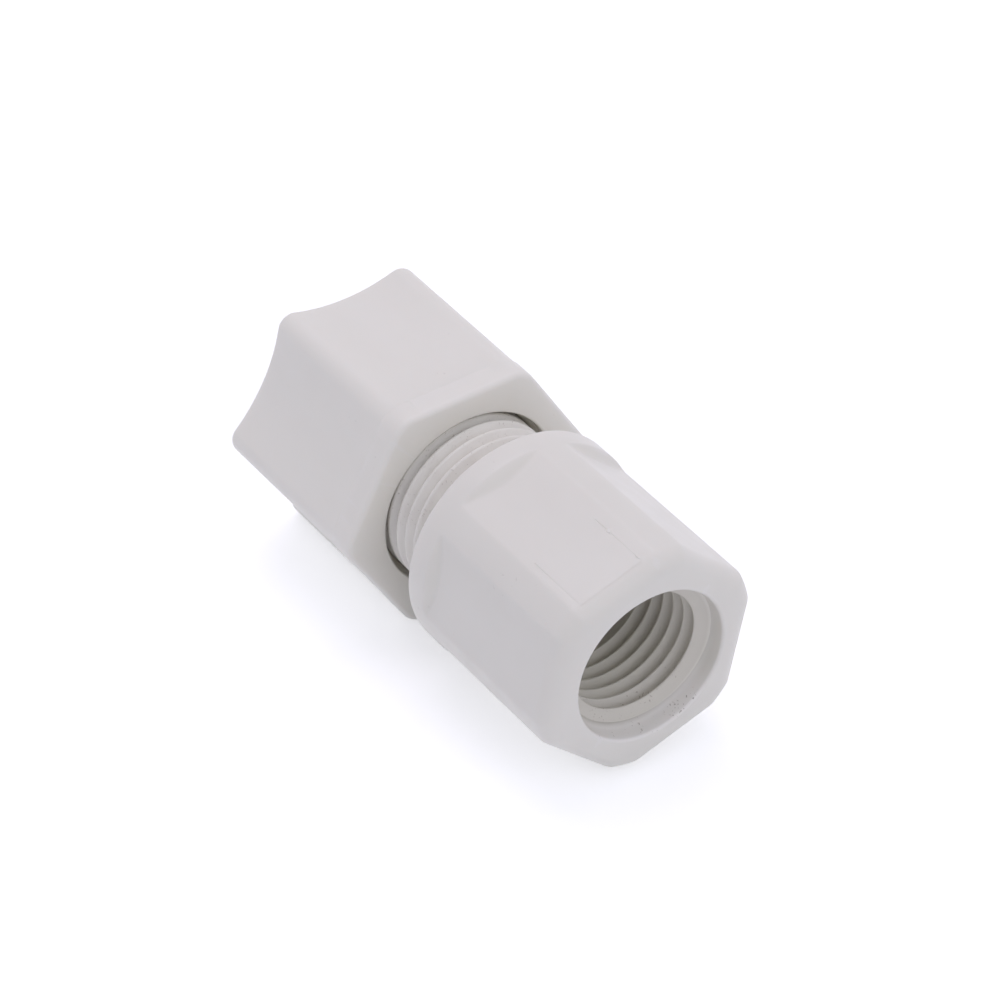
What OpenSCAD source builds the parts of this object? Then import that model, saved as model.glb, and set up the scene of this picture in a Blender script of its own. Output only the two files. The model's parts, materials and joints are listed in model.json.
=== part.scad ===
// Compression connector for plastic tube: a moulded body with a female pipe port at one end and a
// threaded spigot at the other, and a fluted union nut that holds a sleeve and a split grip ring.
//
// The axis runs along X. The origin is the centre of the port's mouth and +X points out of it.
// The tube comes in from -X. The nut's flats face up and down, as the connector lies on a bench,
// and the nut stands part unscrewed, with five turns of its thread bare.

/* [Tube] */
// Outside diameter of the tube that the connector grips
tube_d = 9.525; // [8:0.005:10]
// Room around the tube in every hole that it passes through, on the diameter
tube_room = 0.35; // [0.2:0.05:0.6]
// How far the tube enters the body past the seat, up to its stop
socket_depth = 7.2; // [4:0.1:8]
// Diameter of the waterway between the tube's stop and the port
waterway_d = 7; // [4:0.1:8]

/* [Nut thread] */
// Outside diameter of the thread on the spigot
thread_d = 15.875; // [15.5:0.005:17]
// Advance of the nut in one turn
thread_pitch = 1.27; // [1:0.01:1.6]
// Depth of the thread on the spigot
thread_depth = 0.78; // [0.5:0.01:0.9]
// Room between the spigot's thread and the nut's, on the diameter
thread_room = 0.25; // [0.2:0.01:0.4]
// Length of the spigot from the collar to its end
spigot_len = 14.15; // [13:0.05:15]

/* [Seat] */
// Widening of the seat's mouth beyond the tube's hole, on the diameter
seat_flare = 2.525; // [2.2:0.005:3.1]
// Slope of the seat and of the sleeve's nose from the axis, in degrees
seat_slope = 14; // [12:0.5:18]

/* [Body] */
// Length from the collar's nut side to the port's mouth
body_len = 19.75; // [18:0.05:22]
// How much slimmer the body's round stock is than the nut across its ridges
body_step = 3.18; // [2.6:0.02:3.6]
// Depth to which the body's flats are set into that round stock at the port end
flat_depth = 0.83; // [0.5:0.01:1]
// Growth of that width from the port end to the collar, the draft of the mould
body_draft = 0.06; // [0:0.02:0.4]
// Rounding of the edge around the port's face
body_edge_r = 1.8; // [0.8:0.1:2.4]
// Turn of the body's flats from the nut's as the nut was left, in degrees
body_turn = 15.6; // [0:0.1:30]
// Width of the round collar
collar_w = 2.25; // [1.6:0.05:3.2]
// Length over which the flats rise to the collar
collar_rise = 0.85; // [0.4:0.05:1.4]
// Edge broken at the collar's nut side
collar_edge = 0.25; // [0.1:0.05:0.6]

/* [Port] */
// Diameter of the plain counterbore at the port's mouth
mouth_d = 14.16; // [13.9:0.02:15]
// Depth of the counterbore
mouth_depth = 1.7; // [1:0.1:3]
// Diameter of the port's threaded hole at the root of its thread
port_d = 13.6; // [13:0.02:13.8]
// Depth of the port's threaded hole from the mouth
port_depth = 11.6; // [9:0.1:12]

/* [Nut] */
// Length of the nut
nut_len = 19.2; // [18.6:0.05:21]
// Distance across the nut's rounded ridges at the spigot end
nut_ridge_d = 24.38; // [24:0.02:26]
// Growth of that distance to the tube end, the draft of the mould
nut_draft = 0.16; // [0:0.02:0.5]
// Rounding of the six ridges
nut_ridge_r = 2.3; // [1.4:0.1:2.6]
// Depth of the hollows between the ridges at the tube end
nut_hollow = 0.95; // [0.4:0.05:1.4]
// Width of the plain hexagonal band at the spigot end
nut_band = 2.4; // [1:0.1:4]
// Height of the band above the start of the hollows
nut_band_step = 0.2; // [0.05:0.01:0.3]
// Diameter of the nut's opening around the spigot
nut_mouth_d = 16.88; // [16.6:0.02:18]
// Thickness of the nut's end wall around the tube
nut_wall = 3; // [2:0.1:3.4]
// Rounding of the edge around the nut's face at the spigot end
nut_front_r = 0.5; // [0.2:0.05:0.8]
// Rounding of the edge around its tube end
nut_end_r = 0.8; // [0.4:0.05:1.2]
// Depth of the recess in the nut's opening before its thread starts
nut_mouth_depth = 1.2; // [0.6:0.1:1.6]
// Part of the spigot's thread that the nut leaves bare as it was left
bare_thread = 6.56; // [6:0.02:7.4]

/* [Sleeve and grip ring] */
// Travel of the nut from where it was left until the sleeve meets its seat, in turns
turns_to_seal = 2; // [1.5:0.1:2.2]
// Distance that the sleeve's collar stands off the spigot when it is sealed
sleeve_stand_off = 0.4; // [0.2:0.05:0.6]
// Length of the sleeve's nose
sleeve_nose = 3.4; // [2.5:0.1:4]
// Thickness of the sleeve's collar
sleeve_collar = 1.1; // [0.8:0.1:1.4]
// Diameter of the sleeve's collar and of the grip ring
ring_d = 13.8; // [13.6:0.05:14]
// Slope of the grip ring's back and of the nut's cam from the axis, in degrees
cam_slope = 31; // [25:1:36]
// Width of the grip ring's split
ring_split = 1.6; // [0.8:0.1:2.4]
// Number of teeth in the grip ring
ring_teeth = 3; // [2:1:4]
// Depth of those teeth
ring_tooth = 0.45; // [0.3:0.05:0.6]
// Room around the sleeve and the grip ring where they meet other pieces
loose_gap = 0.1; // [0.06:0.01:0.2]

/* [Hidden] */
$fn = 96;

plastic = [0.87, 0.86, 0.87];
plastic_inner = [0.83, 0.82, 0.80];

// Segments across a rounded ridge, along a hollow and around an edge's rounding
corner_steps = 6;
hollow_steps = 6;
edge_steps = 5;
hollow_rings = 4;
// Overlap of cutters with the faces that they pass through
past = 1;
// Length over which the nut's band steps down to the hollows
nut_band_slope = 0.1;
// Bevel at the end of the spigot
spigot_bevel = 0.5;
// Bevel on the sleeve's collar
sleeve_bevel = 0.4;
// Width of a grip ring tooth's crest side
tooth_land = 0.2;
// Wall over the teeth at the grip ring's back
ring_lip = 0.45;
// Segments around the edge at the nut's front
nut_front_steps = 2;

bore_d = tube_d + tube_room;
root_d = thread_d - 2 * thread_depth;
nut_bore_d = thread_d + thread_room;
seat_d = bore_d + seat_flare;
// Diameter of the collar and of the body's six rounded ridges, and width across its flats
body_d = nut_ridge_d - body_step;
body_flats = body_d - 2 * flat_depth;

collar_x = -body_len;
spigot_x = collar_x - spigot_len;
seat_len = (seat_d - bore_d) / 2 / tan(seat_slope);
stop_x = spigot_x + seat_len + socket_depth;

nut_front_x = collar_x - bare_thread;
nut_back_x = nut_front_x - nut_len;
cam_x = nut_back_x + nut_wall;
travel_to_seal = turns_to_seal * thread_pitch;

sleeve_x = spigot_x - sleeve_stand_off - travel_to_seal;
ring_front_x = sleeve_x - sleeve_collar - loose_gap;
ring_back_d = bore_d + 2 * (ring_tooth + ring_lip);
// Along the axis, the cam stands this far behind the ring's sloping back
cam_gap = loose_gap / sin(cam_slope);
ring_back_x = cam_x + cam_gap;
// Diameter of the nut's chamber around the sleeve and the ring, and length of its cam
ring_room_d = ring_d + 2 * loose_gap;
cam_len = (ring_room_d - ring_back_d) / 2 / tan(cam_slope);
ring_back_len = (ring_d - ring_back_d) / 2 / tan(cam_slope);
ring_len = ring_front_x - ring_back_x;

// Distance from the axis to the middle of a flat side
function apothem(tip, round) = (tip - round) * cos(30) + round;

// Radius of the hollow that touches two neighbouring ridges and dips below their common flat
function hollow_r(tip, round, dip) =
    let (k = tip - round, b = apothem(tip, round) - dip)
    (k * k + b * b - 2 * k * b * cos(30) - round * round) / (2 * dip);

// Rounded ridge of an outline on one of its six corners, as points over half an angle each way
function ridge_points(side, tip, round, half) = [
    for (i = [0 : corner_steps])
        let (a = side * 60 + half * (2 * i / corner_steps - 1))
        [
            (tip - round) * cos(side * 60) + round * cos(a),
            (tip - round) * sin(side * 60) + round * sin(a)
        ]
];

// Outline of six rounded ridges with a hollow between each two
function star_outline(tip, round, dip) =
    let (
        r = hollow_r(tip, round, dip),
        c = apothem(tip, round) - dip + r,
        half = atan2(c * sin(30), c * cos(30) - (tip - round))
    )
    [
        for (side = [0 : 5])
            each concat(
                ridge_points(side, tip, round, half),
                [
                    for (i = [1 : hollow_steps - 1])
                        let (
                            mid = side * 60 + 30,
                            a = mid + 180 + (half - 30) * (1 - 2 * i / hollow_steps)
                        )
                        [c * cos(mid) + r * cos(a), c * sin(mid) + r * sin(a)]
                ]
            )
    ];

// The same outline with flat sides, and as many points
function flat_outline(tip, round) = [
    for (side = [0 : 5])
        let (
            ridge = ridge_points(side, tip, round, 30),
            next = ridge_points(side + 1, tip, round, 30)
        )
        each concat(
            ridge,
            [
                for (i = [1 : hollow_steps - 1])
                    ridge[corner_steps] + (next[0] - ridge[corner_steps]) * i / hollow_steps
            ]
        )
];

// Outline of a sharp hexagon of a given width across its flats
function hexagon_outline(flats) = [
    for (side = [0 : 5]) flats / 2 / cos(30) * [cos(side * 60), sin(side * 60)]
];

// One outline set across the axis at x
function ring_at(x, outline) = [for (p = outline) [x, p[0], p[1]]];

// Solid skin through a list of rings that run towards -X
module skin(rings) {
    n = len(rings[0]);
    last = len(rings) - 1;
    polyhedron(
        points = [for (r = rings) each r],
        faces = concat(
            [[for (i = [n - 1 : -1 : 0]) i]],
            [
                for (j = [0 : last - 1], i = [0 : n - 1])
                    let (a = j * n + i, b = j * n + (i + 1) % n)
                    each [[a, b, b + n], [a, b + n, a + n]]
            ],
            [[for (i = [0 : n - 1]) last * n + i]]
        )
    );
}

// Round bar or hole from x0 to x1 with its own diameter at each end
module bar(x0, x1, d0, d1) {
    translate([x0, 0, 0]) rotate([0, 90, 0]) cylinder(h = x1 - x0, d1 = d0, d2 = d1);
}

// Solid turned about the X axis from points given as [x, radius]
module turned(profile) {
    rotate([0, 90, 0]) rotate_extrude() polygon([for (p = profile) [p[1], p[0]]]);
}

// Round stock of the body, with its edges as they are at the collar and around the port's face
module body_stock() {
    turned(concat(
        [
            [collar_x, 0],
            [collar_x, body_d / 2 - collar_edge],
            [collar_x + collar_edge, body_d / 2]
        ],
        [
            for (i = [0 : edge_steps])
                let (a = 90 * i / edge_steps)
                [-body_edge_r * (1 - sin(a)), body_d / 2 - body_edge_r * (1 - cos(a))]
        ],
        [[0, 0]]
    ));
}

// Hexagonal prism of the body's flats, rounded at the port end and longer than the body
module body_prism() {
    front = [
        for (i = [0 : edge_steps])
            let (a = 90 * i / edge_steps)
            ring_at(
                -body_edge_r * (1 - cos(a)),
                hexagon_outline(body_flats - 2 * body_edge_r * (1 - sin(a)))
            )
    ];
    outside = ring_at(2 * past, hexagon_outline(body_flats - 2 * body_edge_r));
    back = ring_at(collar_x, hexagon_outline(body_flats + body_draft));
    skin(concat([outside], front, [back]));
}

// What the six flats take off the round stock, up to the slope that rises to the collar
module flat_cutters() {
    rise_x = collar_x + collar_w;
    rise = (body_d - body_flats) / collar_rise;
    difference() {
        bar(rise_x - past / 2, past, body_d + 2 * past, body_d + 2 * past);
        rotate([body_turn, 0, 0]) body_prism();
        bar(
            rise_x - past,
            rise_x + collar_rise,
            body_d + rise * past,
            body_d - rise * collar_rise
        );
    }
}

// Body with its flats, collar, spigot, tube socket and port
module body() {
    color(plastic)
    difference() {
        union() {
            difference() {
                body_stock();
                flat_cutters();
            }
            bar(spigot_x + spigot_bevel, collar_x + past, root_d, root_d);
            bar(spigot_x, spigot_x + spigot_bevel, root_d - 2 * spigot_bevel, root_d);
        }
        bar(spigot_x, spigot_x + seat_len, seat_d, bore_d);
        bar(spigot_x - past, stop_x, bore_d, bore_d);
        bar(stop_x - past, past, waterway_d, waterway_d);
        bar(-port_depth - (port_d - waterway_d) / 2, -port_depth, waterway_d, port_d);
        bar(-port_depth, -mouth_depth, port_d, port_d);
        bar(-mouth_depth, past, mouth_d, mouth_d);
    }
}

// Outside of the nut: a plain hexagonal band, then ridges with hollows that deepen to the tube end
module nut_skin() {
    tip = nut_ridge_d / 2;
    end_tip = tip + nut_draft / 2;
    hollow_x = nut_front_x - nut_band - nut_band_slope;
    hollow_len = nut_len - nut_band - nut_band_slope - nut_end_r;
    band = [
        for (i = [0 : nut_front_steps])
            let (a = 90 * i / nut_front_steps, in = nut_front_r * (1 - sin(a)))
            ring_at(
                nut_front_x - nut_front_r * (1 - cos(a)),
                flat_outline(tip - in, nut_ridge_r - in)
            )
    ];
    band_end = [ring_at(nut_front_x - nut_band, flat_outline(tip, nut_ridge_r))];
    hollows = [
        for (i = [0 : hollow_rings])
            let (share = i / hollow_rings)
            ring_at(
                hollow_x - share * hollow_len,
                star_outline(
                    tip + share * nut_draft / 2,
                    nut_ridge_r,
                    nut_band_step + share * (nut_hollow - nut_band_step)
                )
            )
    ];
    back = [
        for (i = [1 : edge_steps])
            let (a = 90 * i / edge_steps, in = nut_end_r * (1 - cos(a)))
            ring_at(
                nut_back_x + nut_end_r * (1 - sin(a)),
                star_outline(end_tip - in, nut_ridge_r - in, nut_hollow)
            )
    ];
    skin(concat(band, band_end, hollows, back));
}

// Union nut with its opening, thread bore, cam and tube hole
module nut() {
    color(plastic)
    difference() {
        nut_skin();
        bar(nut_front_x - nut_mouth_depth, nut_front_x + past, nut_mouth_d, nut_mouth_d);
        bar(ring_front_x - loose_gap, nut_front_x, nut_bore_d, nut_bore_d);
        bar(cam_x + cam_len, nut_front_x, ring_room_d, ring_room_d);
        bar(cam_x, cam_x + cam_len, ring_back_d, ring_room_d);
        bar(nut_back_x - past, nut_front_x, bore_d, bore_d);
    }
}

// Sleeve that is pressed into the seat around the tube
module sleeve() {
    base_r = seat_d / 2 + sleeve_stand_off * tan(seat_slope) - loose_gap / 2;
    color(plastic_inner)
    turned([
        [sleeve_x - sleeve_collar, bore_d / 2],
        [sleeve_x - sleeve_collar, ring_d / 2 - sleeve_bevel],
        [sleeve_x - sleeve_collar + sleeve_bevel, ring_d / 2],
        [sleeve_x, ring_d / 2],
        [sleeve_x, base_r],
        [sleeve_x + sleeve_nose, base_r - sleeve_nose * tan(seat_slope)],
        [sleeve_x + sleeve_nose, bore_d / 2]
    ]);
}

// Split ring whose teeth bite the tube as the nut's cam closes it
module grip_ring() {
    pitch = ring_len / ring_teeth;
    color(plastic_inner)
    difference() {
        turned(concat(
            [
                for (i = [0 : ring_teeth - 1])
                    each [
                        [ring_back_x + i * pitch, bore_d / 2],
                        [ring_back_x + (i + 1) * pitch - tooth_land, bore_d / 2 + ring_tooth]
                    ]
            ],
            [
                [ring_front_x, bore_d / 2 + ring_tooth],
                [ring_front_x, ring_d / 2],
                [ring_back_x + ring_back_len, ring_d / 2],
                [ring_back_x, ring_back_d / 2]
            ]
        ));
        translate([ring_back_x - past, -ring_split / 2, 0])
            cube([ring_len + 2 * past, ring_split, ring_d]);
    }
}

body();
nut();
sleeve();
grip_ring();
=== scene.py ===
"""Looks of the female tube connector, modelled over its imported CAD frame.

The connector lies on a pale bench with its nut part unscrewed.  The body's skin and the nut's skin
grow ring by ring, the three threads are wound, and the sleeve and the grip ring are the CAD's own.
Sizes are in millimetres, as in part.scad, and MM turns them into Blender's metres.  The studio's
lamps and the noise patterns' scales are in metres.
"""

import json
import logging
import math
from dataclasses import dataclass, field, replace
from enum import Enum
from typing import Callable, Iterable

import bmesh
import bpy
from mathutils import Matrix, Vector

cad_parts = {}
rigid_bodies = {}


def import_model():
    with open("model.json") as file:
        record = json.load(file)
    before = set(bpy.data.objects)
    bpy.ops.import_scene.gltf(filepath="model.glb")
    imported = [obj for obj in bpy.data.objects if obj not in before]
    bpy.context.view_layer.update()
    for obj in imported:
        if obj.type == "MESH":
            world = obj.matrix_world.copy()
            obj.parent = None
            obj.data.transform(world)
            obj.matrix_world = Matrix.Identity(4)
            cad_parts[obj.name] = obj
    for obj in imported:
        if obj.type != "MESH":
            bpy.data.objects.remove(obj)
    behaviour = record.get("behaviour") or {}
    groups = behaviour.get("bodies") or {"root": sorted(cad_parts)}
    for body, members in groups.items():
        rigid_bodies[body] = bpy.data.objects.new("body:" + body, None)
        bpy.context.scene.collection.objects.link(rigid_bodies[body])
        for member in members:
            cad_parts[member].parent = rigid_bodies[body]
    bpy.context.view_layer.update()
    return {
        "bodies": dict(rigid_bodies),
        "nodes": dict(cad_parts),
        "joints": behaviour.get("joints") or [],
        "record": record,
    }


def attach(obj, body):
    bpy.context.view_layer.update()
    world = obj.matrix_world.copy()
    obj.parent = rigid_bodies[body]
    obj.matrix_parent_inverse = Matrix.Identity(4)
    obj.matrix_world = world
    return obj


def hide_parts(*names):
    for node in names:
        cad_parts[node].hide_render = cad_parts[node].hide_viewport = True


MM = 0.001
SIDES = 6

# An edge sharper than this, in degrees, stays sharp.
SHARP = 32.0

# Points nearer than this are one point, and a hollow shallower than this is a flat.
MERGED = 0.0005
SHALLOW = 0.001

Span = tuple[float, float]
Colour = tuple[float, float, float]

log = logging.getLogger("tube_connector")


class BodyName(Enum):
    """The CAD bodies that new pieces ride on."""

    BODY = "body"
    NUT = "nut"


class SlotName(Enum):
    """The record's material slot moulded_plastic, which the script does not use."""

    MOULDED = "moulded_plastic"


class ThreadSide(Enum):
    """Which way a thread's crest points from its wall."""

    OUTSIDE = 1
    INSIDE = -1


class ToolStep(Enum):
    """What a tool's shape does to a piece."""

    CUT = "DIFFERENCE"
    JOIN = "UNION"


class LineLie(Enum):
    """The turn that lays a bar along a witness line."""

    ALONG = (0.0, math.pi / 2, 0.0)
    ACROSS = (math.pi / 2, 0.0, 0.0)


# Finishes


class Board:
    """A node tree, with short calls that add and join nodes."""

    def __init__(self, owner: bpy.types.ID) -> None:
        """Starts an empty node tree.

        Args:
            owner: The new material or world that the tree belongs to.
        """
        owner.use_nodes = True
        self.tree = owner.node_tree
        self.tree.nodes.clear()

    def add(self, kind: str, **settings: object) -> bpy.types.Node:
        """Adds a node.

        Args:
            kind: The node's type name.
            **settings: Properties that are set on the node.

        Returns:
            The new node.
        """
        node = self.tree.nodes.new(kind)
        for key, value in settings.items():
            setattr(node, key, value)
        return node

    def join(self, out: bpy.types.NodeSocket, into: bpy.types.NodeSocket) -> None:
        """Links one socket to another."""
        self.tree.links.new(out, into)

    def feed(self, socket: bpy.types.NodeSocket, value: object) -> None:
        """Gives a socket a link where the value is a socket, and a constant where it is not.

        Args:
            socket: The socket that is fed.
            value: Another socket or a constant.
        """
        if isinstance(value, bpy.types.NodeSocket):
            self.join(value, socket)
        else:
            socket.default_value = value

    def maths(self, step: str, first: object, second: object = 0.0) -> bpy.types.NodeSocket:
        """Adds a Math node.

        Args:
            step: The node's operation.
            first: Its first value or socket.
            second: Its second value or socket.

        Returns:
            The node's result.
        """
        node = self.add("ShaderNodeMath", operation=step)
        self.feed(node.inputs[0], first)
        self.feed(node.inputs[1], second)
        return node.outputs[0]

    def times(self, first: object, second: object) -> bpy.types.NodeSocket:
        """Multiplies two values."""
        return self.maths("MULTIPLY", first, second)

    def spread(self, value: object, span: Span, to: Span = (0.0, 1.0)) -> bpy.types.NodeSocket:
        """Maps a value smoothly and clamped from one span to another.

        Args:
            value: The socket that is mapped.
            span: Start and end of its span.
            to: The results at the start and at the end.

        Returns:
            The mapped value.
        """
        node = self.add("ShaderNodeMapRange", interpolation_type="SMOOTHSTEP")
        self.feed(node.inputs["Value"], value)
        node.inputs["From Min"].default_value, node.inputs["From Max"].default_value = span
        node.inputs["To Min"].default_value, node.inputs["To Max"].default_value = to
        return node.outputs["Result"]

    def rise(self, place: object, span: Span, to: Span = (0.0, 1.0)) -> bpy.types.NodeSocket:
        """Maps a place as spread does, with its span in millimetres."""
        return self.spread(place, (span[0] * MM, span[1] * MM), to)

    def fall(self, place: object, span: Span, full: float = 1.0) -> bpy.types.NodeSocket:
        """Goes from full to nothing over a span in millimetres."""
        return self.rise(place, span, (full, 0.0))

    def blend(self, share: object, first: object, second: object) -> bpy.types.NodeSocket:
        """Mixes two colours.

        Args:
            share: Share of the second colour.
            first: The first colour or socket.
            second: The second colour or socket.

        Returns:
            The mixed colour.
        """
        node = self.add("ShaderNodeMix", data_type="RGBA")
        self.feed(node.inputs[0], share)
        for socket, colour in ((node.inputs[6], first), (node.inputs[7], second)):
            self.feed(socket, (*colour, 1.0) if isinstance(colour, tuple) else colour)
        return node.outputs[2]

    def seen(self) -> bpy.types.NodeSocket:
        """Says whether the camera sees this place, straight, reflected or through something.

        Returns:
            One where it does, and nothing where it does not.
        """
        path = self.add("ShaderNodeLightPath")
        straight = self.maths("MAXIMUM", path.outputs["Is Camera Ray"], path.outputs["Is Glossy Ray"])
        return self.maths("MAXIMUM", straight, path.outputs["Is Transmission Ray"])


@dataclass(frozen=True)
class Cloud:
    """A noise pattern, with its scale in cells a metre, its octaves and how rough those are."""

    scale: float
    detail: float
    roughness: float

    def drift(self, board: Board, place: object) -> bpy.types.NodeSocket:
        """Adds the pattern.

        Args:
            board: The material's node tree.
            place: The coordinates that it is laid on.

        Returns:
            The pattern's value, about 0 to 1.
        """
        node = board.add("ShaderNodeTexNoise")
        board.feed(node.inputs["Vector"], place)
        node.inputs["Scale"].default_value = self.scale
        node.inputs["Detail"].default_value = self.detail
        node.inputs["Roughness"].default_value = self.roughness
        return node.outputs["Fac"]


@dataclass(frozen=True)
class Scatter(Cloud):
    """A noise pattern that goes from nothing to full where its value passes an edge."""

    edge: Span
    full: float = 1.0

    def lay(self, board: Board, place: object) -> bpy.types.NodeSocket:
        """Adds the pattern and its edge."""
        return board.spread(self.drift(board, place), self.edge, (0.0, self.full))


@dataclass(frozen=True)
class DirtAndPaintedLight:
    """Dust on the spigot's thread, crumbs and specks of dirt, painted light low in the port, and painted
    shade in the port's bore and in the nut's mouth.

    The spans say in millimetres where each of them fades, along the axis, off the axis or upwards.
    thread_dust, thread_dirt, port_light_share, bore_shade_share and mouth_shade_share are shares.
    """

    grime: Colour = (0.34, 0.29, 0.24)
    dust: Colour = (0.64, 0.58, 0.52)
    # Colour of the painted shade inside the nut's mouth, warm and dark.
    mouth_shade: Colour = (0.62, 0.54, 0.32)
    # Colour of the painted light on the port's lower wall.
    port_painted_light: Colour = (0.98, 0.945, 0.89)
    # Colour of the painted shade in the port's bore, darker and warmer than the plastic.
    bore_shade: Colour = (0.69, 0.665, 0.585)
    thread_off: Span = (7.9, 8.6)
    thread_front: Span = (-20.5, -19.7)
    thread_back: Span = (-38.5, -34.0)
    thread_dust: Span = (0.05, 0.12)
    thread_dirt: float = 0.5
    port_low: Span = (-6.2, -3.0)
    port_back: Span = (-6.0, -3.5)
    port_off: Span = (7.1, 7.4)
    # Share of the painted light low in the port.
    port_light_share: float = 0.8
    bore_off: Span = (6.7, 7.0)
    bore_along: Span = (-4.5, -2.5)
    # Shares of the painted shade in the port's bore, deeper in and nearer the mouth.
    bore_shade_share: Span = (0.5, 0.9)
    bore_back: Span = (-19.0, -18.0)
    mouth_along: Span = (-27.5, -26.3)
    # Share of the painted shade inside the nut's mouth.
    mouth_shade_share: float = 0.0
    speck: Scatter = Scatter(2600.0, 1.0, 0.4, (0.735, 0.765))
    patch: Scatter = Scatter(230.0, 2.0, 0.5, (0.56, 0.70), full=0.16)
    crumb: Scatter = Scatter(4200.0, 1.5, 0.5, (0.65, 0.71), full=0.75)
    heap: Scatter = Scatter(420.0, 2.0, 0.5, (0.40, 0.60))

    def lay(
        self, board: Board, place: bpy.types.NodeSocket, clean: bpy.types.NodeSocket
    ) -> tuple[bpy.types.NodeSocket, bpy.types.NodeSocket]:
        """Lays dirt, dust and the painted light and shade on a clean surface.

        Args:
            board: The material's node tree.
            place: The coordinates that it is laid on.
            clean: The clean surface's colour.

        Returns:
            The soiled colour, and how much dirt there is.
        """
        parts = board.add("ShaderNodeSeparateXYZ")
        board.join(place, parts.inputs["Vector"])
        x, y, z = parts.outputs
        off = board.maths("SQRT", board.maths("ADD", board.times(y, y), board.times(z, z)))
        near = board.times(board.fall(off, self.thread_off), board.fall(x, self.thread_front))
        thread = board.times(near, board.rise(x, self.thread_back))
        low = board.times(board.fall(z, self.port_low), board.rise(x, self.port_back))
        port = board.times(low, board.fall(off, self.port_off))

        heap = self.heap.lay(board, place)
        uneven = board.times(thread, board.spread(heap, (0.0, 1.0), self.thread_dust))
        dusted = board.blend(uneven, clean, self.dust)
        # Painted light: the port's lower wall is lightened, where it faces the light that comes in at the
        # mouth.
        port_lightened = board.blend(board.times(port, self.port_light_share), dusted, self.port_painted_light)
        # Painted shade: the port's bore is darkened and warmed, for its shade and the warm light bounced
        # inside it.
        deep = board.times(board.rise(x, self.bore_along, self.bore_shade_share), board.rise(x, self.bore_back))
        bore_shaded = board.blend(board.times(board.fall(off, self.bore_off), deep), port_lightened, self.bore_shade)
        # Painted shade: the inside of the nut, back from its mouth, is darkened and warmed, as it lies in
        # shade round the spigot.
        mouth = board.times(thread, board.fall(x, self.mouth_along, self.mouth_shade_share))
        mouth_shaded = board.blend(mouth, bore_shaded, self.mouth_shade)

        here = board.maths("MAXIMUM", port, board.times(thread, self.thread_dirt))
        crumbs = board.times(board.times(self.crumb.lay(board, place), heap), here)
        specks = board.times(self.speck.lay(board, place), self.patch.lay(board, place))
        dirt = board.maths("MAXIMUM", specks, crumbs)
        return board.blend(dirt, mouth_shaded, self.grime), dirt


@dataclass(frozen=True)
class MouldedPlastic:
    """Satin white moulded plastic with faint flow marks, fine tooling marks, edges lightened by rubbing and
    by a painted highlight, a little dirt and dust, and painted light and shade inside the port and the nut's
    mouth.
    """

    name: str
    colour: Colour
    shade: Colour
    # Sharp edges, found by Pointiness, are lightened towards this colour: partly rubbing, partly a painted
    # highlight.
    rubbed_and_sheen: Colour = (0.93, 0.92, 0.92)
    rubbed_and_sheen_edge: Span = (0.51, 0.60)
    rubbed_and_sheen_share: float = 0.14
    flow: Scatter = Scatter(160.0, 3.0, 0.55, (0.30, 0.72))
    flow_stretch: float = 0.35
    waves: Cloud = Cloud(496.0, 2.0, 0.5)
    wave_edge: Span = (0.3, 0.7)
    wave_height: float = 2.0
    grain: Cloud = Cloud(5200.0, 3.0, 0.6)
    grain_depth: float = 0.012
    grain_strength: float = 0.35
    roughness: float = 0.42
    uneven: Span = (-0.05, 0.06)
    dirt_roughness: float = 0.3
    refraction: float = 1.5
    glow: float = 0.35
    glow_tone: Colour = (1.0, 0.9, 0.85)
    glow_depth: float = 1.0
    dirt_and_painted_light: DirtAndPaintedLight = DirtAndPaintedLight()

    def make(self) -> bpy.types.Material:
        """Builds the material.

        Returns:
            The finished material.
        """
        material = bpy.data.materials.new(self.name)
        board = Board(material)
        place = board.add("ShaderNodeTexCoord").outputs["Object"]
        stretched = board.add("ShaderNodeMapping")
        board.join(place, stretched.inputs["Vector"])
        stretched.inputs["Scale"].default_value = (self.flow_stretch, 1.0, 1.0)
        waves = self.waves.drift(board, place)
        edge = board.add("ShaderNodeNewGeometry").outputs["Pointiness"]
        flow = board.blend(self.flow.lay(board, stretched.outputs["Vector"]), self.colour, self.shade)
        # Painted highlight along sharp edges, together with the lightening of rubbed edges.
        rubbed_and_sheen = board.blend(board.spread(edge, self.rubbed_and_sheen_edge, (0.0, self.rubbed_and_sheen_share)), flow, self.rubbed_and_sheen)
        colour, dirt = self.dirt_and_painted_light.lay(board, place, rubbed_and_sheen)

        shader = board.add("ShaderNodeBsdfPrincipled")
        board.join(colour, shader.inputs["Base Color"])
        least, most = (self.roughness + step for step in self.uneven)
        satin = board.spread(waves, self.wave_edge, (least, most))
        rough = board.maths("ADD", satin, board.times(dirt, self.dirt_roughness))
        board.join(rough, shader.inputs["Roughness"])
        shader.inputs["IOR"].default_value = self.refraction
        shader.inputs["Subsurface Weight"].default_value = self.glow
        shader.inputs["Subsurface Radius"].default_value = self.glow_tone
        shader.inputs["Subsurface Scale"].default_value = self.glow_depth * MM
        bump = board.add("ShaderNodeBump")
        bump.inputs["Strength"].default_value = self.grain_strength
        bump.inputs["Distance"].default_value = self.grain_depth * MM
        height = board.maths("ADD", self.grain.drift(board, place), board.times(waves, self.wave_height))
        board.join(height, bump.inputs["Height"])
        board.join(bump.outputs["Normal"], shader.inputs["Normal"])
        board.join(shader.outputs["BSDF"], board.add("ShaderNodeOutputMaterial").inputs["Surface"])
        return material


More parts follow.
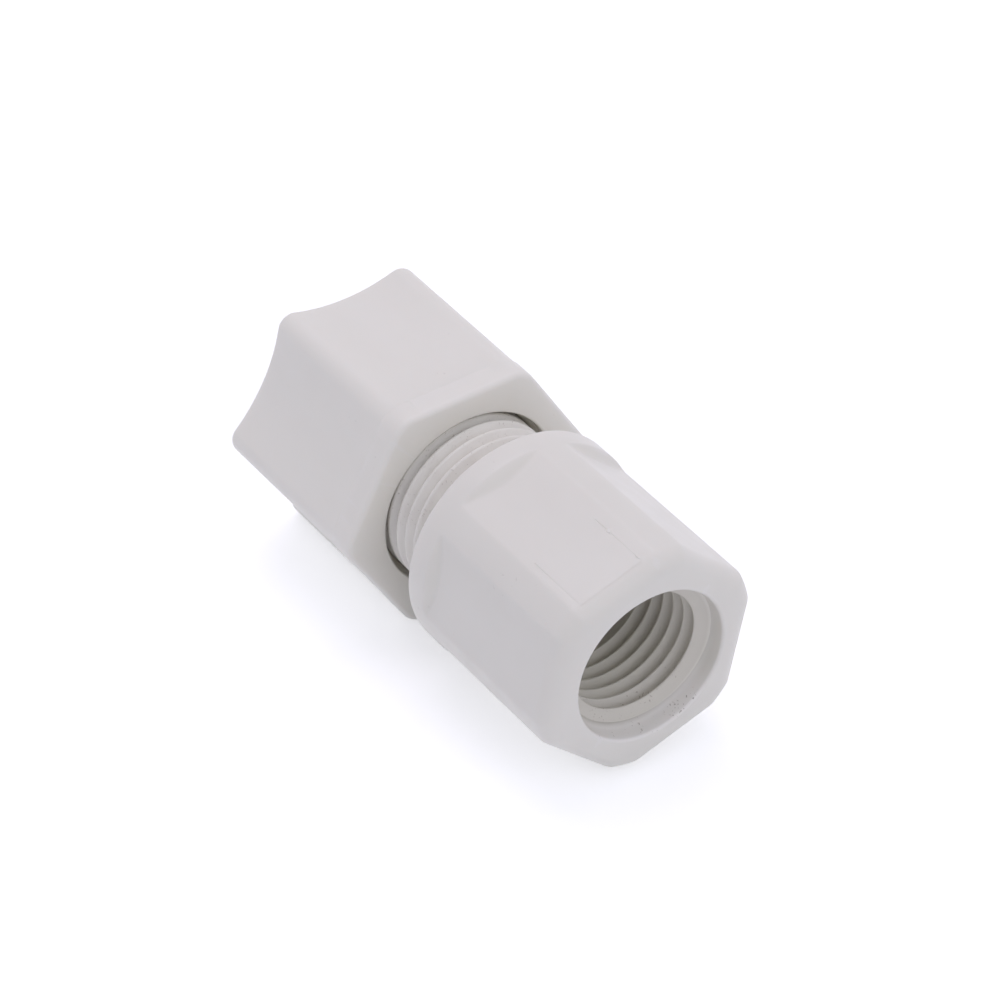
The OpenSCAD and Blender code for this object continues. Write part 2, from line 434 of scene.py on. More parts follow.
@dataclass(frozen=True)
class PaleBench:
    """The bench's white sheet, which the camera sees as white and which keeps the object's shadow."""

    name: str = "pale_bench"
    colour: Colour = (0.93, 0.94, 0.955)
    mottle: Scatter = Scatter(12.0, 3.0, 0.5, (0.3, 0.7))
    mottled: float = 0.985
    roughness: float = 0.9
    lift: float = 0.42

    def make(self) -> bpy.types.Material:
        """Builds the material.

        Returns:
            The finished material.
        """
        material = bpy.data.materials.new(self.name)
        board = Board(material)
        place = board.add("ShaderNodeTexCoord").outputs["Object"]
        darker = tuple(part * self.mottled for part in self.colour)
        colour = board.blend(self.mottle.lay(board, place), self.colour, darker)
        sheet = board.add("ShaderNodeBsdfPrincipled")
        board.join(colour, sheet.inputs["Base Color"])
        sheet.inputs["Roughness"].default_value = self.roughness
        lamp = board.add("ShaderNodeEmission")
        board.join(board.times(board.seen(), self.lift), lamp.inputs["Strength"])
        both = board.add("ShaderNodeAddShader")
        board.join(sheet.outputs["BSDF"], both.inputs[0])
        board.join(lamp.outputs["Emission"], both.inputs[1])
        board.join(both.outputs["Shader"], board.add("ShaderNodeOutputMaterial").inputs["Surface"])
        return material


# Hand tools


class Bench:
    """The modelling tools that every sub-assembly works with."""

    @staticmethod
    def clear() -> None:
        """Deselects every object."""
        if bpy.context.object and bpy.context.object.mode != "OBJECT":
            bpy.ops.object.mode_set(mode="OBJECT")
        bpy.ops.object.select_all(action="DESELECT")

    @staticmethod
    def take_up(piece: bpy.types.Object) -> None:
        """Selects one piece alone and makes it the active one.

        Args:
            piece: The piece.
        """
        Bench.clear()
        piece.select_set(True)
        bpy.context.view_layer.objects.active = piece

    @staticmethod
    def settle(name: str) -> bpy.types.Object:
        """Names the active primitive and puts its place into its mesh.

        Args:
            name: The piece's name.

        Returns:
            The piece, at the origin, unturned and unscaled.
        """
        piece = bpy.context.object
        piece.name = name
        piece.data.name = name
        bpy.ops.object.transform_apply(location=True, rotation=True, scale=True)
        return piece

    @staticmethod
    def open_up() -> None:
        """Enters the active piece's edit mode with all of it selected."""
        bpy.ops.object.mode_set(mode="EDIT")
        bpy.ops.mesh.select_all(action="SELECT")

    @staticmethod
    def choose(piece: bpy.types.Object, points: Iterable[int]) -> None:
        """Selects some points of a piece in edit mode and nothing else.

        Args:
            piece: The piece.
            points: The points' indices.
        """
        bpy.ops.mesh.select_all(action="DESELECT")
        shape = bmesh.from_edit_mesh(piece.data)
        shape.verts.ensure_lookup_table()
        for index in points:
            shape.verts[index].select = True
        shape.select_flush_mode()
        bmesh.update_edit_mesh(piece.data, loop_triangles=False, destructive=False)

    @staticmethod
    def close_up(piece: bpy.types.Object, sharp: float = SHARP) -> None:
        """Merges doubled points, turns all faces outwards and shades the piece.

        Args:
            piece: The piece, in edit or object mode.
            sharp: Angle in degrees above which an edge stays sharp.
        """
        Bench.take_up(piece)
        Bench.open_up()
        bpy.ops.mesh.remove_doubles(threshold=MERGED * MM)
        bpy.ops.mesh.normals_make_consistent(inside=False)
        bpy.ops.object.mode_set(mode="OBJECT")
        bpy.ops.object.shade_smooth_by_angle(angle=math.radians(sharp))

    @staticmethod
    def work(piece: bpy.types.Object, tool: bpy.types.Object, step: ToolStep) -> None:
        """Cuts a tool's shape out of a piece, or joins it on, and puts the tool away.

        Args:
            piece: The piece.
            tool: The tool, a closed shape, which is deleted afterwards.
            step: What the tool's shape does.
        """
        Bench.take_up(piece)
        work = piece.modifiers.new("work", "BOOLEAN")
        work.operation = step.value
        work.solver = "EXACT"
        work.object = tool
        bpy.ops.object.modifier_apply(modifier=work.name)
        Bench.take_up(tool)
        bpy.ops.object.delete()
        Bench.take_up(piece)

    @staticmethod
    def dress(piece: bpy.types.Object, finish: bpy.types.Material) -> None:
        """Gives a piece one finish in all its material slots.

        Args:
            piece: The piece, a new one or a CAD node.
            finish: The finish.
        """
        if piece.material_slots:
            for place in piece.material_slots:
                place.link = "OBJECT"
                place.material = finish
        else:
            piece.data.materials.append(finish)


def corner(radius: float, steps: int) -> list[tuple[float, float]]:
    """Gives the points of a rounded corner, a quarter of a circle.

    Args:
        radius: The corner's radius.
        steps: How many steps the quarter has.

    Returns:
        For each point, how far it has come along the corner's first side, from nothing to the radius,
        and how far it has still to go along the second, from the radius to nothing.
    """
    turns = [math.pi / 2 * step / steps for step in range(steps + 1)]
    return [(radius * (1 - math.cos(turn)), radius * (1 - math.sin(turn))) for turn in turns]


class RingStack:
    """A shell that grows ring by ring along X, each ring extruded from the last and scaled into shape.

    A ring need not be round: its reach may differ from spoke to spoke, the same on all six sides and on
    both halves of a side.
    """

    def __init__(self, name: str, x: float, radius: float, spokes: int = 360) -> None:
        """Starts the shell with a round ring.

        Args:
            name: The piece's name.
            x: The ring's place along the axis.
            radius: The ring's radius.
            spokes: How many points a ring has.
        """
        Bench.clear()
        bpy.ops.mesh.primitive_circle_add(
            vertices=spokes,
            radius=radius * MM,
            fill_type="NOTHING",
            location=(x * MM, 0, 0),
            rotation=(0, math.pi / 2, 0),
        )
        self.piece = Bench.settle(name)
        self.x = x
        self.spokes = spokes
        self.reach = [radius] * (spokes // SIDES // 2 + 1)
        bpy.ops.object.mode_set(mode="EDIT")
        bpy.ops.mesh.select_mode(type="VERT")
        bpy.ops.mesh.select_all(action="SELECT")

    def _scale(self, factor: float) -> None:
        """Scales the selected points about the axis."""
        bpy.ops.transform.resize(value=(1, factor, factor), center_override=(self.x * MM, 0, 0))

    def grow(self, x: float, radius: float | Callable[[float], float]) -> None:
        """Adds the next ring.

        Args:
            x: Its place along the axis.
            radius: Its radius, or a function from the angle off a ridge, in degrees, to the radius there.
        """
        bpy.ops.mesh.extrude_region_move(TRANSFORM_OT_translate={"value": ((x - self.x) * MM, 0, 0)})
        self.x = x
        step = 360 / self.spokes
        goal = [radius(i * step) if callable(radius) else radius for i in range(len(self.reach))]
        factors = [round(new / old, 7) for new, old in zip(goal, self.reach)]
        if len(set(factors)) > 1:
            self._shape(factors)
        elif factors[0] != 1.0:
            self._scale(factors[0])
        self.reach = goal

    def _shape(self, factors: list[float]) -> None:
        """Scales the selected ring spoke by spoke.

        Args:
            factors: The factor for each angle off a ridge.
        """
        side = self.spokes // SIDES
        ring: dict[float, list[int]] = {}
        for point in bmesh.from_edit_mesh(self.piece.data).verts:
            if point.select:
                angle = math.degrees(math.atan2(point.co.z, point.co.y))
                spoke = round(angle / 360 * self.spokes) % side
                ring.setdefault(factors[min(spoke, side - spoke)], []).append(point.index)
        for factor, points in ring.items():
            if factor != 1.0:
                Bench.choose(self.piece, points)
                self._scale(factor)
        Bench.choose(self.piece, (index for points in ring.values() for index in points))

    def finish(self) -> bpy.types.Object:
        """Joins the last ring to the first and turns the faces outwards.

        Returns:
            The finished shell.
        """
        Bench.close_up(self.piece)
        return self.piece


@dataclass
class Thread:
    """A right-hand screw thread: one ridge that winds round a wall."""

    name: str
    side: ThreadSide
    pitch: float
    wall_r: float
    crest_r: float
    start_x: float
    turns: float
    crest_w: float
    flank: float = 30.0
    crest_round: float = 0.48
    sunk: float = 0.25
    faded_sunk: float = 0.1
    steps: int = 90
    fade_in: float = 0.2
    fade_out: float = 0.2
    sharp: float = 34.0

    def build(self) -> bpy.types.Object:
        """Models the ridge.

        Returns:
            The ridge, closed at both ends.
        """
        height = abs(self.crest_r - self.wall_r)
        slope = math.tan(math.radians(self.flank))
        foot_r = self.wall_r - self.side.value * self.sunk
        foot_w = self.crest_w + 2 * (height + self.sunk) * slope
        Bench.clear()
        middle = (self.start_x * MM, (foot_r + self.crest_r) / 2 * MM, 0)
        bpy.ops.mesh.primitive_plane_add(size=1, location=middle)
        piece = bpy.context.object
        piece.scale = (foot_w * MM, (height + self.sunk) * MM, 1)
        Bench.settle(self.name)
        places = [abs(point.co.y / MM) for point in piece.data.vertices]
        crest = [i for i, off in enumerate(places) if abs(off - self.crest_r) < abs(off - foot_r)]
        bpy.ops.object.mode_set(mode="EDIT")
        Bench.choose(piece, crest)
        top = (self.start_x * MM, self.crest_r * MM, 0)
        bpy.ops.transform.resize(value=(self.crest_w / foot_w, 1, 1), center_override=top)
        bpy.ops.mesh.bevel(affect="VERTICES", offset=self.crest_round * self.crest_w * MM, segments=3)
        bpy.ops.mesh.select_all(action="SELECT")
        bpy.ops.mesh.delete(type="ONLY_FACE")
        bpy.ops.object.mode_set(mode="OBJECT")
        section = len(piece.data.vertices)
        wind = piece.modifiers.new("wind", "SCREW")
        wind.axis = "X"
        wind.angle = 2 * math.pi * self.turns
        wind.screw_offset = self.pitch * self.turns * MM
        wind.steps = wind.render_steps = round(self.steps * self.turns)
        wind.use_merge_vertices = False
        bpy.ops.object.modifier_apply(modifier=wind.name)
        self._trim(piece, section)
        Bench.close_up(piece, self.sharp)
        return piece

    def _trim(self, piece: bpy.types.Object, section: int) -> None:
        """Closes the ridge's two ends and lets them fade into the wall.

        Args:
            piece: The wound ridge.
            section: How many points one section of it has.
        """
        last = len(piece.data.vertices) // section - 1
        bpy.ops.object.mode_set(mode="EDIT")
        bpy.ops.mesh.select_mode(type="VERT")
        faded_r = self.wall_r - self.side.value * self.faded_sunk
        for row in range(last + 1):
            turn = row / last * self.turns
            left = min(turn / self.fade_in, (self.turns - turn) / self.fade_out)
            if left < 1:
                part = left * left * (3 - 2 * left)
                factor = (faded_r + (self.crest_r - faded_r) * part) / self.crest_r
                Bench.choose(piece, range(row * section, (row + 1) * section))
                bpy.ops.transform.resize(value=(1, factor, factor), center_override=(0, 0, 0))
        for row in (0, last):
            Bench.choose(piece, range(row * section, (row + 1) * section))
            bpy.ops.mesh.edge_face_add()
        bpy.ops.object.mode_set(mode="OBJECT")


def soft_least(first: float, second: float, width: float) -> float:
    """Takes the smaller of two values with a rounded change from one to the other.

    Args:
        first: One value.
        second: The other value.
        width: Difference below which the change is rounded.

    Returns:
        The smaller value, a little less near the change.
    """
    near = max(width - abs(first - second), 0.0) / width
    return min(first, second) - near * near * width / 4


def soft_most(first: float, second: float, width: float) -> float:
    """Takes the larger of two values with a rounded change, as soft_least takes the smaller."""
    return -soft_least(-first, -second, width)


# Body


@dataclass(frozen=True)
class WitnessLine:
    """A fine line that the mould left on the flat that stands upwards."""

    x: float
    y: float
    length: float
    lie: LineLie
    rise: float = 0.0


@dataclass(frozen=True)
class Pip:
    """A tiny moulding pip on the same flat, with its half length, half width and height."""

    x: float
    y: float
    size: tuple[float, float, float]


@dataclass
class ConnectorBody:
    """The moulded body: round stock with six flats, a collar, the spigot and the pipe port."""

    finish: bpy.types.Material
    thread_finish: bpy.types.Material
    port_finish: bpy.types.Material
    stock_r: float = 10.6
    flat_depth: float = 0.83
    draft: float = 0.03
    turn: float = 15.6
    length: float = 19.75
    edge_r: float = 1.8
    collar_w: float = 2.25
    collar_edge: float = 0.28
    collar_rise: float = 0.95
    rise_blend: float = 0.22
    rise_reach: float = 1.6
    rise_step: float = 0.12
    rise_rings: int = 13
    flat_rings: tuple[float, ...] = (-14.0, -10.0, -6.0)
    crease: float = 0.08
    spigot_len: float = 14.15
    spigot_r: float = 7.1575
    spigot_bevel: float = 0.5
    spigot_root: float = 0.3
    thread_r: float = 7.9375
    thread_pitch: float = 1.27
    thread_start: float = -32.49
    thread_turns: float = 9.55
    thread_crest_w: float = 0.27
    seat_r: float = 6.2
    socket_r: float = 4.9375
    seat_len: float = 5.06
    socket_depth: float = 7.2
    waterway_r: float = 3.5
    mouth_r: float = 7.08
    mouth_depth: float = 1.7
    mouth_edge: float = 0.3
    mouth_step: tuple[tuple[float, float], ...] = (
        (-0.7, 0.0),
        (-0.4, 0.03),
        (-0.1, 0.10),
        (0.2, 0.24),
        (0.45, 0.34),
        (0.7, 0.34),
        (1.0, 0.28),
    )
    port_r: float = 6.8
    port_depth: float = 11.6
    port_crest_r: float = 5.8
    port_pitch: float = 1.411
    port_start: float = -10.781
    port_turns: float = 6.2
    port_crest_w: float = 0.16
    port_fade: float = 0.05
    line_w: float = 0.20
    line_depth: float = 0.03
    lines: tuple[WitnessLine, ...] = (
        WitnessLine(-4.6, 2.72, 6.2, LineLie.ALONG),
        WitnessLine(-4.6, -3.42, 6.2, LineLie.ALONG),
        WitnessLine(-1.3, -0.35, 6.1, LineLie.ACROSS, -0.07),
    )
    pips: tuple[Pip, ...] = (
        Pip(-5.87, 2.78, (0.26, 0.20, 0.07)),
        Pip(-1.95, 2.78, (0.34, 0.10, 0.05)),
    )
    pieces: list[bpy.types.Object] = field(default_factory=list)

    def _flat(self, x: float) -> float:
        """Says how far the flats lie from the axis at one place along it."""
        return self.stock_r - self.flat_depth - self.draft * x / self.length

    def _section(self, x: float, inset: float = 0.0) -> Callable[[float], float]:
        """Gives the body's outline at one place along the axis.

        Args:
            x: The place along the axis.
            inset: How far the rounding at the port end has drawn the outline in.

        Returns:
            The radius for each angle off a ridge.
        """
        stock = self.stock_r - inset
        flat = self._flat(x) - inset
        rise_x = -self.length + self.collar_w
        slope = self.stock_r - self.flat_depth * (x - rise_x) / self.collar_rise

        def reach(angle: float) -> float:
            """Gives the radius at one angle.

            Args:
                angle: The angle off a ridge, in degrees.

            Returns:
                The radius.
            """
            side = flat / math.cos(math.radians(30 - angle))
            if x < rise_x + self.rise_reach * self.collar_rise:
                side = soft_most(side, slope, self.rise_blend)
            return soft_least(stock, side, self.crease)

        return reach

    def _outside(self, shell: RingStack) -> None:
        """Grows the collar, the flats and the rounded port end.

        Args:
            shell: The shell, grown as far as the collar's back.
        """
        for done, left in corner(self.collar_edge, 3):
            shell.grow(-self.length + done, self.stock_r - left)
        rise_x = -self.length + self.collar_w
        shell.grow(rise_x - self.rise_step, self.stock_r)
        rise = [rise_x + self.rise_step * ring for ring in range(self.rise_rings)]
        for x in (*rise, *self.flat_rings, -self.edge_r):
            shell.grow(x, self._section(x))
        for done, left in corner(self.edge_r, 10)[1:]:
            shell.grow(-left, self._section(-left, done))

    def _inside(self, shell: RingStack) -> None:
        """Grows the port, the waterway and the tube's socket.

        Args:
            shell: The shell, grown as far as the port's face.
        """
        for done, left in corner(self.mouth_edge, 4):
            shell.grow(-done, self.mouth_r + left)
        for back, inward in self.mouth_step:
            shell.grow(-self.mouth_depth - back, self.mouth_r - inward)
        shell.grow(-self.port_depth, self.port_r)
        shell.grow(-self.port_depth - self.port_r + self.waterway_r, self.waterway_r)
        end = -self.length - self.spigot_len
        stop = end + self.seat_len + self.socket_depth
        shell.grow(stop, self.waterway_r)
        shell.grow(stop, self.socket_r)
        shell.grow(end + self.seat_len, self.socket_r)
        shell.grow(end, self.seat_r)

    def _scribe(self, shell: bpy.types.Object, line: WitnessLine) -> None:
        """Cuts one witness line, a shallow V, into the flat that stands upwards.

        Args:
            shell: The body's skin, before it is turned.
            line: The line.
        """
        height = (self._flat(line.x) + line.rise) * MM
        Bench.clear()
        bpy.ops.mesh.primitive_cylinder_add(
            vertices=4,
            radius=self.line_w / 2 * MM,
            depth=line.length * MM,
            location=(line.x * MM, line.y * MM, height),
            rotation=line.lie.value,
        )
        bar = Bench.settle("scriber")
        Bench.open_up()
        flatter = 2 * self.line_depth / self.line_w
        bpy.ops.transform.resize(value=(1, 1, flatter), center_override=(0, 0, height))
        Bench.work(shell, bar, ToolStep.CUT)

    def _stud(self, shell: bpy.types.Object, pip: Pip) -> None:
        """Joins one moulding pip to the flat that stands upwards.

        Args:
            shell: The body's skin, before it is turned.
            pip: The pip.
        """
        middle = (pip.x * MM, pip.y * MM, self._flat(pip.x) * MM)
        Bench.clear()
        bpy.ops.mesh.primitive_uv_sphere_add(segments=16, ring_count=8, radius=MM, location=middle)
        ball = Bench.settle("pip")
        Bench.open_up()
        bpy.ops.transform.resize(value=pip.size, center_override=middle)
        Bench.work(shell, ball, ToolStep.JOIN)

    def build_shell(self) -> None:
        """Models the body's skin, inside and out."""
        end = -self.length - self.spigot_len
        shell = RingStack("body_shell", end, self.seat_r)
        shell.grow(end, self.spigot_r - self.spigot_bevel)
        shell.grow(end + self.spigot_bevel, self.spigot_r)
        for done, left in corner(self.spigot_root, 3):
            shell.grow(-self.length - left, self.spigot_r + done)
        self._outside(shell)
        self._inside(shell)
        piece = shell.finish()
        for line in self.lines:
            self._scribe(piece, line)
        for pip in self.pips:
            self._stud(piece, pip)
        Bench.close_up(piece)
        Bench.open_up()
        turn = -math.radians(self.turn)
        bpy.ops.transform.rotate(value=turn, orient_axis="X", center_override=(0, 0, 0))
        bpy.ops.object.mode_set(mode="OBJECT")
        self.pieces.append(piece)

    def build_spigot_thread(self) -> None:
        """Models the thread that the nut runs on."""
        thread = Thread(
            name="spigot_thread",
            side=ThreadSide.OUTSIDE,
            pitch=self.thread_pitch,
            wall_r=self.spigot_r,
            crest_r=self.thread_r,
            start_x=self.thread_start,
            turns=self.thread_turns,
            crest_w=self.thread_crest_w,
        )
        self.pieces.append(thread.build())

    def build_port_thread(self) -> None:
        """Models the pipe thread in the port."""
        thread = Thread(
            name="port_thread",
            side=ThreadSide.INSIDE,
            pitch=self.port_pitch,
            wall_r=self.port_r,
            crest_r=self.port_crest_r,
            start_x=self.port_start,
            turns=self.port_turns,
            crest_w=self.port_crest_w,
            fade_out=self.port_fade,
        )
        self.pieces.append(thread.build())

    def dress(self) -> None:
        """Gives the pieces their finishes and their place on the CAD."""
        for piece, finish in zip(self.pieces, (self.finish, self.thread_finish, self.port_finish)):
            Bench.dress(piece, finish)
            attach(piece, BodyName.BODY.value)
        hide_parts("body")


# Nut


@dataclass(frozen=True)
class Flutes:
    """One outline of the nut: its ridges' crest radius and rounding, and the hollows' depth."""

    tip: float
    ridge: float
    dip: float = 0.0

    def towards(self, other: "Flutes", share: float) -> "Flutes":
        """Gives the outline that lies a share of the way to another.

        Args:
            other: The other outline.
            share: The share.

        Returns:
            The outline between the two.
        """
        return Flutes(
            self.tip + share * (other.tip - self.tip),
            self.ridge + share * (other.ridge - self.ridge),
            self.dip + share * (other.dip - self.dip),
        )

    def apothem(self) -> float:
        """Says how far a flat that touches two ridges lies from the axis."""
        return (self.tip - self.ridge) * math.cos(math.pi / 6) + self.ridge

    def section(self, flat: float, drawn: float = 0.0) -> Callable[[float], float]:
        """Gives the outline as radii, six rounded ridges with a flat or a hollow between each two.

        Args:
            flat: How far the band's flats lie from the axis.
            drawn: How far an end's rounding has drawn the outline in.

        Returns:
            The radius for each angle off a ridge.
        """
        hub, ridge = self.tip - self.ridge, self.ridge - drawn
        apothem = hub * math.cos(math.pi / 6) + ridge
        low = flat - self.dip - drawn
        dip = apothem - low
        if dip > SHALLOW:
            chord = hub * hub + low * low - 2 * hub * low * math.cos(math.pi / 6)
            hollow = (chord - ridge * ridge) / (2 * dip)
            centre = low + hollow
            half = math.atan2(centre * 0.5, centre * math.cos(math.pi / 6) - hub)
        else:
            hollow = centre = 0.0
            half = math.pi / 6
        meet = math.atan2(ridge * math.sin(half), hub + ridge * math.cos(half))

        def reach(angle: float) -> float:
            """Gives the radius at one angle.

            Args:
                angle: The angle off a ridge, in degrees.

            Returns:
                The radius.
            """
            turn = math.radians(angle)
            if turn < meet:
                return hub * math.cos(turn) + math.sqrt(ridge * ridge - (hub * math.sin(turn)) ** 2)
            aside = math.pi / 6 - turn
            if not hollow:
                return apothem / math.cos(aside)
            return centre * math.cos(aside) - math.sqrt(hollow * hollow - (centre * math.sin(aside)) ** 2)

        return reach


@dataclass
class UnionNut:
    """The fluted union nut: a plain band, then six rounded ridges with hollows that deepen."""

    finish: bpy.types.Material
    thread_finish: bpy.types.Material
    front_x: float = -26.31
    length: float = 19.2
    band: Flutes = Flutes(12.19, 2.3)
    step: Flutes = Flutes(12.12, 2.1, 0.2)
    tail: Flutes = Flutes(12.268, 1.5, 0.84)
    band_w: float = 2.4
    step_w: float = 0.2
    step_curve: tuple[tuple[float, float], ...] = ((0.04, 0.2), (0.08, 0.55), (0.13, 0.85), (0.2, 1.0))
    hollow_rings: int = 8
    front_r: float = 0.5
    end_r: float = 0.74
    mouth_r: float = 8.44
    mouth_depth: float = 1.2
    mouth_bevel: float = 0.3
    rim: float = 0.2
    bore_r: float = 8.0625
    tube_r: float = 4.9375
    tube_edge: float = 0.3
    room_r: float = 7.0
    wall: float = 3.0
    cam_back_r: float = 5.8375
    cam_len: float = 1.935
    bore_end: float = -38.14
    spokes: int = 720
    thread_crest_r: float = 7.36
    thread_pitch: float = 1.27
    thread_turns: float = 8.0
    thread_crest_w: float = 0.14
    spigot_crest_x: float = -27.41
    pieces: list[bpy.types.Object] = field(default_factory=list)

    def _outside(self, shell: RingStack) -> None:
        """Grows the band, the ridges and the rounded tube end.

        Args:
            shell: The shell, begun at the nut's opening.
        """
        flat = self.band.apothem()
        for done, left in corner(self.front_r, 4):
            shell.grow(self.front_x - done, self.band.section(flat, left))
        band_x = self.front_x - self.band_w
        shell.grow(band_x, self.band.section(flat))
        for down, share in self.step_curve:
            shell.grow(band_x - down, self.band.towards(self.step, share).section(flat))
        end_x = self.front_x - self.length
        first = band_x - self.step_w
        last = end_x + self.end_r
        for ring in range(1, self.hollow_rings + 1):
            share = ring / self.hollow_rings
            shell.grow(first + share * (last - first), self.step.towards(self.tail, share).section(flat))
        for done, left in corner(self.end_r, 7)[1:]:
            shell.grow(end_x + left, self.tail.section(flat, done))

    def _inside(self, shell: RingStack) -> None:
        """Grows the tube's hole, the cam and the thread's wall back to the opening.

        Args:
            shell: The shell, grown round its tube end.
        """
        back = self.front_x - self.length
        cam = back + self.wall
        mouth = self.front_x - self.mouth_depth
        for done, left in corner(self.tube_edge, 3):
            shell.grow(back + done, self.tube_r + left)
        shell.grow(cam, self.tube_r)
        shell.grow(cam, self.cam_back_r)
        shell.grow(cam + self.cam_len, self.room_r)
        shell.grow(self.bore_end, self.room_r)
        shell.grow(self.bore_end, self.bore_r)
        shell.grow(mouth - self.mouth_bevel, self.bore_r)
        shell.grow(mouth, self.mouth_r)
        for done, left in corner(self.rim, 3):
            shell.grow(self.front_x - left, self.mouth_r + done)

    def build_shell(self) -> None:
        """Models the nut's skin, inside and out."""
        shell = RingStack("nut_shell", self.front_x, self.mouth_r + self.rim, self.spokes)
        self._outside(shell)
        self._inside(shell)
        self.pieces.append(shell.finish())

    def build_thread(self) -> None:
        """Models the nut's inner thread, half a pitch off the spigot's."""
        thread = Thread(
            name="nut_thread",
            side=ThreadSide.INSIDE,
            pitch=self.thread_pitch,
            wall_r=self.bore_r,
            crest_r=self.thread_crest_r,
            start_x=self.spigot_crest_x - self.thread_turns * self.thread_pitch - self.thread_pitch / 2,
            turns=self.thread_turns,
            crest_w=self.thread_crest_w,
        )
        self.pieces.append(thread.build())

    def dress(self) -> None:
        """Gives the pieces their finishes and their place on the CAD."""
        for piece, finish in zip(self.pieces, (self.finish, self.thread_finish)):
            Bench.dress(piece, finish)
            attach(piece, BodyName.NUT.value)
        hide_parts("nut")


# Inner parts


@dataclass
class SealTrain:
    """The sleeve and the split grip ring, which are the CAD's own solids with finishes of their own."""

    nodes: dict[str, bpy.types.Object]
    sleeve_finish: bpy.types.Material
    ring_finish: bpy.types.Material
    pieces: list[bpy.types.Object] = field(default_factory=list)

    def dress(self) -> None:
        """Gives the two CAD nodes their finishes."""
        self.pieces = [self.nodes["sleeve"], self.nodes["grip_ring"]]
        for piece, finish in zip(self.pieces, (self.sleeve_finish, self.ring_finish)):
            Bench.dress(piece, finish)


# Studio


@dataclass(frozen=True)
class SoftLamp:
    """One soft lamp of the studio, with its place and size in metres."""

    name: str
    place: tuple[float, float, float]
    size: float
    power: float
    colour: Colour

    def hang(self, target: Vector) -> None:
        """Hangs the lamp so that it faces the object.

        Args:
            target: The point that it faces.
        """
        data = bpy.data.lights.new(self.name, "AREA")
        data.shape = "DISK"
        data.size = self.size
        data.energy = self.power
        data.color = self.colour
        lamp = bpy.data.objects.new(self.name, data)
        bpy.context.scene.collection.objects.link(lamp)
        lamp.location = self.place
        lamp.rotation_euler = (target - Vector(self.place)).to_track_quat("-Z", "Y").to_euler()


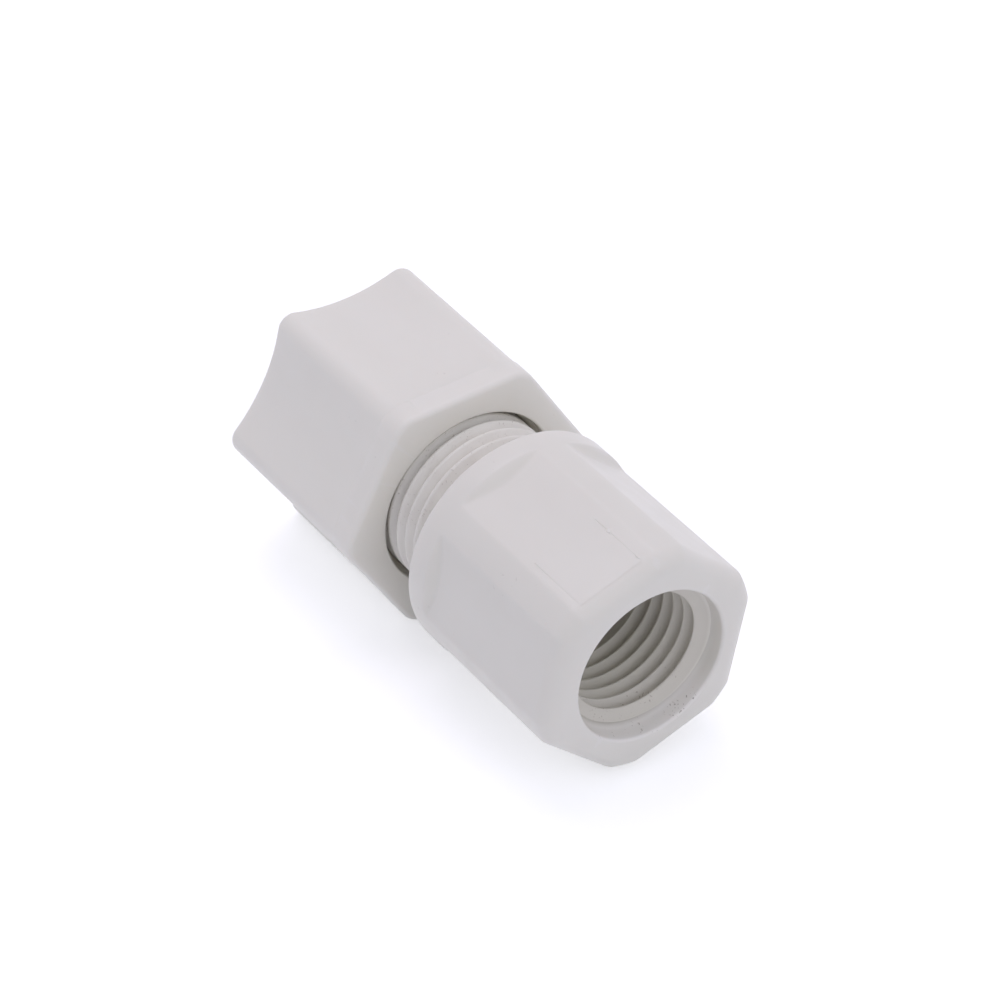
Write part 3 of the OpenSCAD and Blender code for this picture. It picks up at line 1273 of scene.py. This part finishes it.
@dataclass
class Studio:
    """The bench, the lamps, the white surround and the camera."""

    bench_z: float = -10.865
    bench_size: float = 3000.0
    azimuth: float = 57.4
    elevation: float = 39.1
    roll: float = -2.3
    distance: float = 332.9
    aside: float = 0.19
    above: float = 2.14
    lens: float = 142.9
    sensor: float = 36.0
    near: float = 10.0
    aim_x: float = -22.0
    surround: Colour = (0.55, 0.55, 0.63)
    white: Colour = (1.0, 1.0, 1.0)
    lamps: tuple[SoftLamp, ...] = (
        SoftLamp("key_lamp", (-0.17, 0.07, 0.47), 0.40, 0.51, (1.0, 0.885, 1.0)),
        SoftLamp("front_lamp", (0.37, 0.07, 0.31), 0.30, 0.19, (1.0, 1.0, 1.03)),
    )

    def lay_bench(self) -> None:
        """Lays the bench under the nut's lowest flat."""
        Bench.clear()
        bpy.ops.mesh.primitive_plane_add(size=self.bench_size * MM, location=(0, 0, self.bench_z * MM))
        sheet = Bench.settle("bench")
        Bench.open_up()
        bpy.ops.mesh.subdivide(number_cuts=3)
        bpy.ops.object.mode_set(mode="OBJECT")
        Bench.dress(sheet, PaleBench().make())

    def hang_lamps(self) -> None:
        """Hangs the lamps and sets the surround, which the camera sees as white."""
        for lamp in self.lamps:
            lamp.hang(Vector((self.aim_x * MM, 0, 0)))
        world = bpy.data.worlds.new("surround")
        bpy.context.scene.world = world
        board = Board(world)
        light = board.add("ShaderNodeBackground")
        board.join(board.blend(board.seen(), self.surround, self.white), light.inputs["Color"])
        board.join(light.outputs["Background"], board.add("ShaderNodeOutputWorld").inputs["Surface"])

    def set_camera(self) -> None:
        """Stands the camera where an unsqueezed picture comes nearest to the photograph."""
        turn, tilt = math.radians(self.azimuth), math.radians(self.elevation)
        right = Vector((math.cos(turn), math.sin(turn), 0))
        back = Vector((math.sin(turn) * math.cos(tilt), -math.cos(turn) * math.cos(tilt), math.sin(tilt)))
        up = back.cross(right)
        frame = Matrix((right, up, back)).transposed() @ Matrix.Rotation(math.radians(self.roll), 3, "Z")
        data = bpy.data.cameras.new("camera")
        data.lens = self.lens
        data.sensor_width = self.sensor
        data.clip_start = self.near * MM
        camera = bpy.data.objects.new("camera", data)
        bpy.context.scene.collection.objects.link(camera)
        aim = Vector((self.aim_x, 0, 0))
        camera.location = (aim + self.aside * right + self.above * up + self.distance * back) * MM
        camera.rotation_euler = frame.to_euler()
        bpy.context.scene.camera = camera

    def build(self) -> None:
        """Sets up the whole studio."""
        self.set_camera()
        self.lay_bench()
        self.hang_lamps()
        bpy.context.scene.view_settings.view_transform = "Standard"


def main() -> None:
    """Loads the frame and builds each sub-assembly in order."""
    logging.basicConfig(level=logging.INFO, format="%(name)s: %(message)s")
    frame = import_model()

    # The body and the nut are one plastic; the body's copy of the white is a little darker than the nut's,
    # painted shade that brings the body's lit faces down.
    body_white = MouldedPlastic("body_white", (0.834, 0.817, 0.745), (0.820, 0.801, 0.728))
    # Painted light: a lighter copy of the white for the spigot's thread, which lies in shade between the nut
    # and the collar.
    body_thread = MouldedPlastic("spigot_thread_painted_light", (0.885, 0.868, 0.800), (0.870, 0.852, 0.782), glow=0.0)
    # Painted shade: a darker, warmer copy of the white for the thread deep in the port.
    port_thread = MouldedPlastic("port_thread_painted_shade", (0.785, 0.764, 0.668), (0.772, 0.750, 0.652), glow=0.0)
    nut_white = MouldedPlastic(
        "nut_white", (0.860, 0.842, 0.768), (0.845, 0.826, 0.750), dirt_and_painted_light=DirtAndPaintedLight(mouth_shade_share=0.35)
    )
    nut_thread = replace(nut_white, name="nut_thread_white", glow=0.0)
    sleeve_white = MouldedPlastic("sleeve_white", (0.76, 0.75, 0.72), (0.73, 0.72, 0.69), roughness=0.36)
    ring_white = MouldedPlastic("ring_white", (0.72, 0.72, 0.70), (0.69, 0.69, 0.67), roughness=0.33)

    body = ConnectorBody(body_white.make(), body_thread.make(), port_thread.make())
    body.build_shell()
    body.build_spigot_thread()
    body.build_port_thread()
    body.dress()

    nut = UnionNut(nut_white.make(), nut_thread.make())
    nut.build_shell()
    nut.build_thread()
    nut.dress()

    seals = SealTrain(frame["nodes"], sleeve_white.make(), ring_white.make())
    seals.dress()
    for piece in (*body.pieces, *nut.pieces, *seals.pieces):
        log.info("%s: %d faces", piece.name, len(piece.data.polygons))

    studio = Studio()
    studio.build()
    log.info("studio: bench, %d lamps and the camera", len(studio.lamps))


if __name__ == "__main__":
    main()
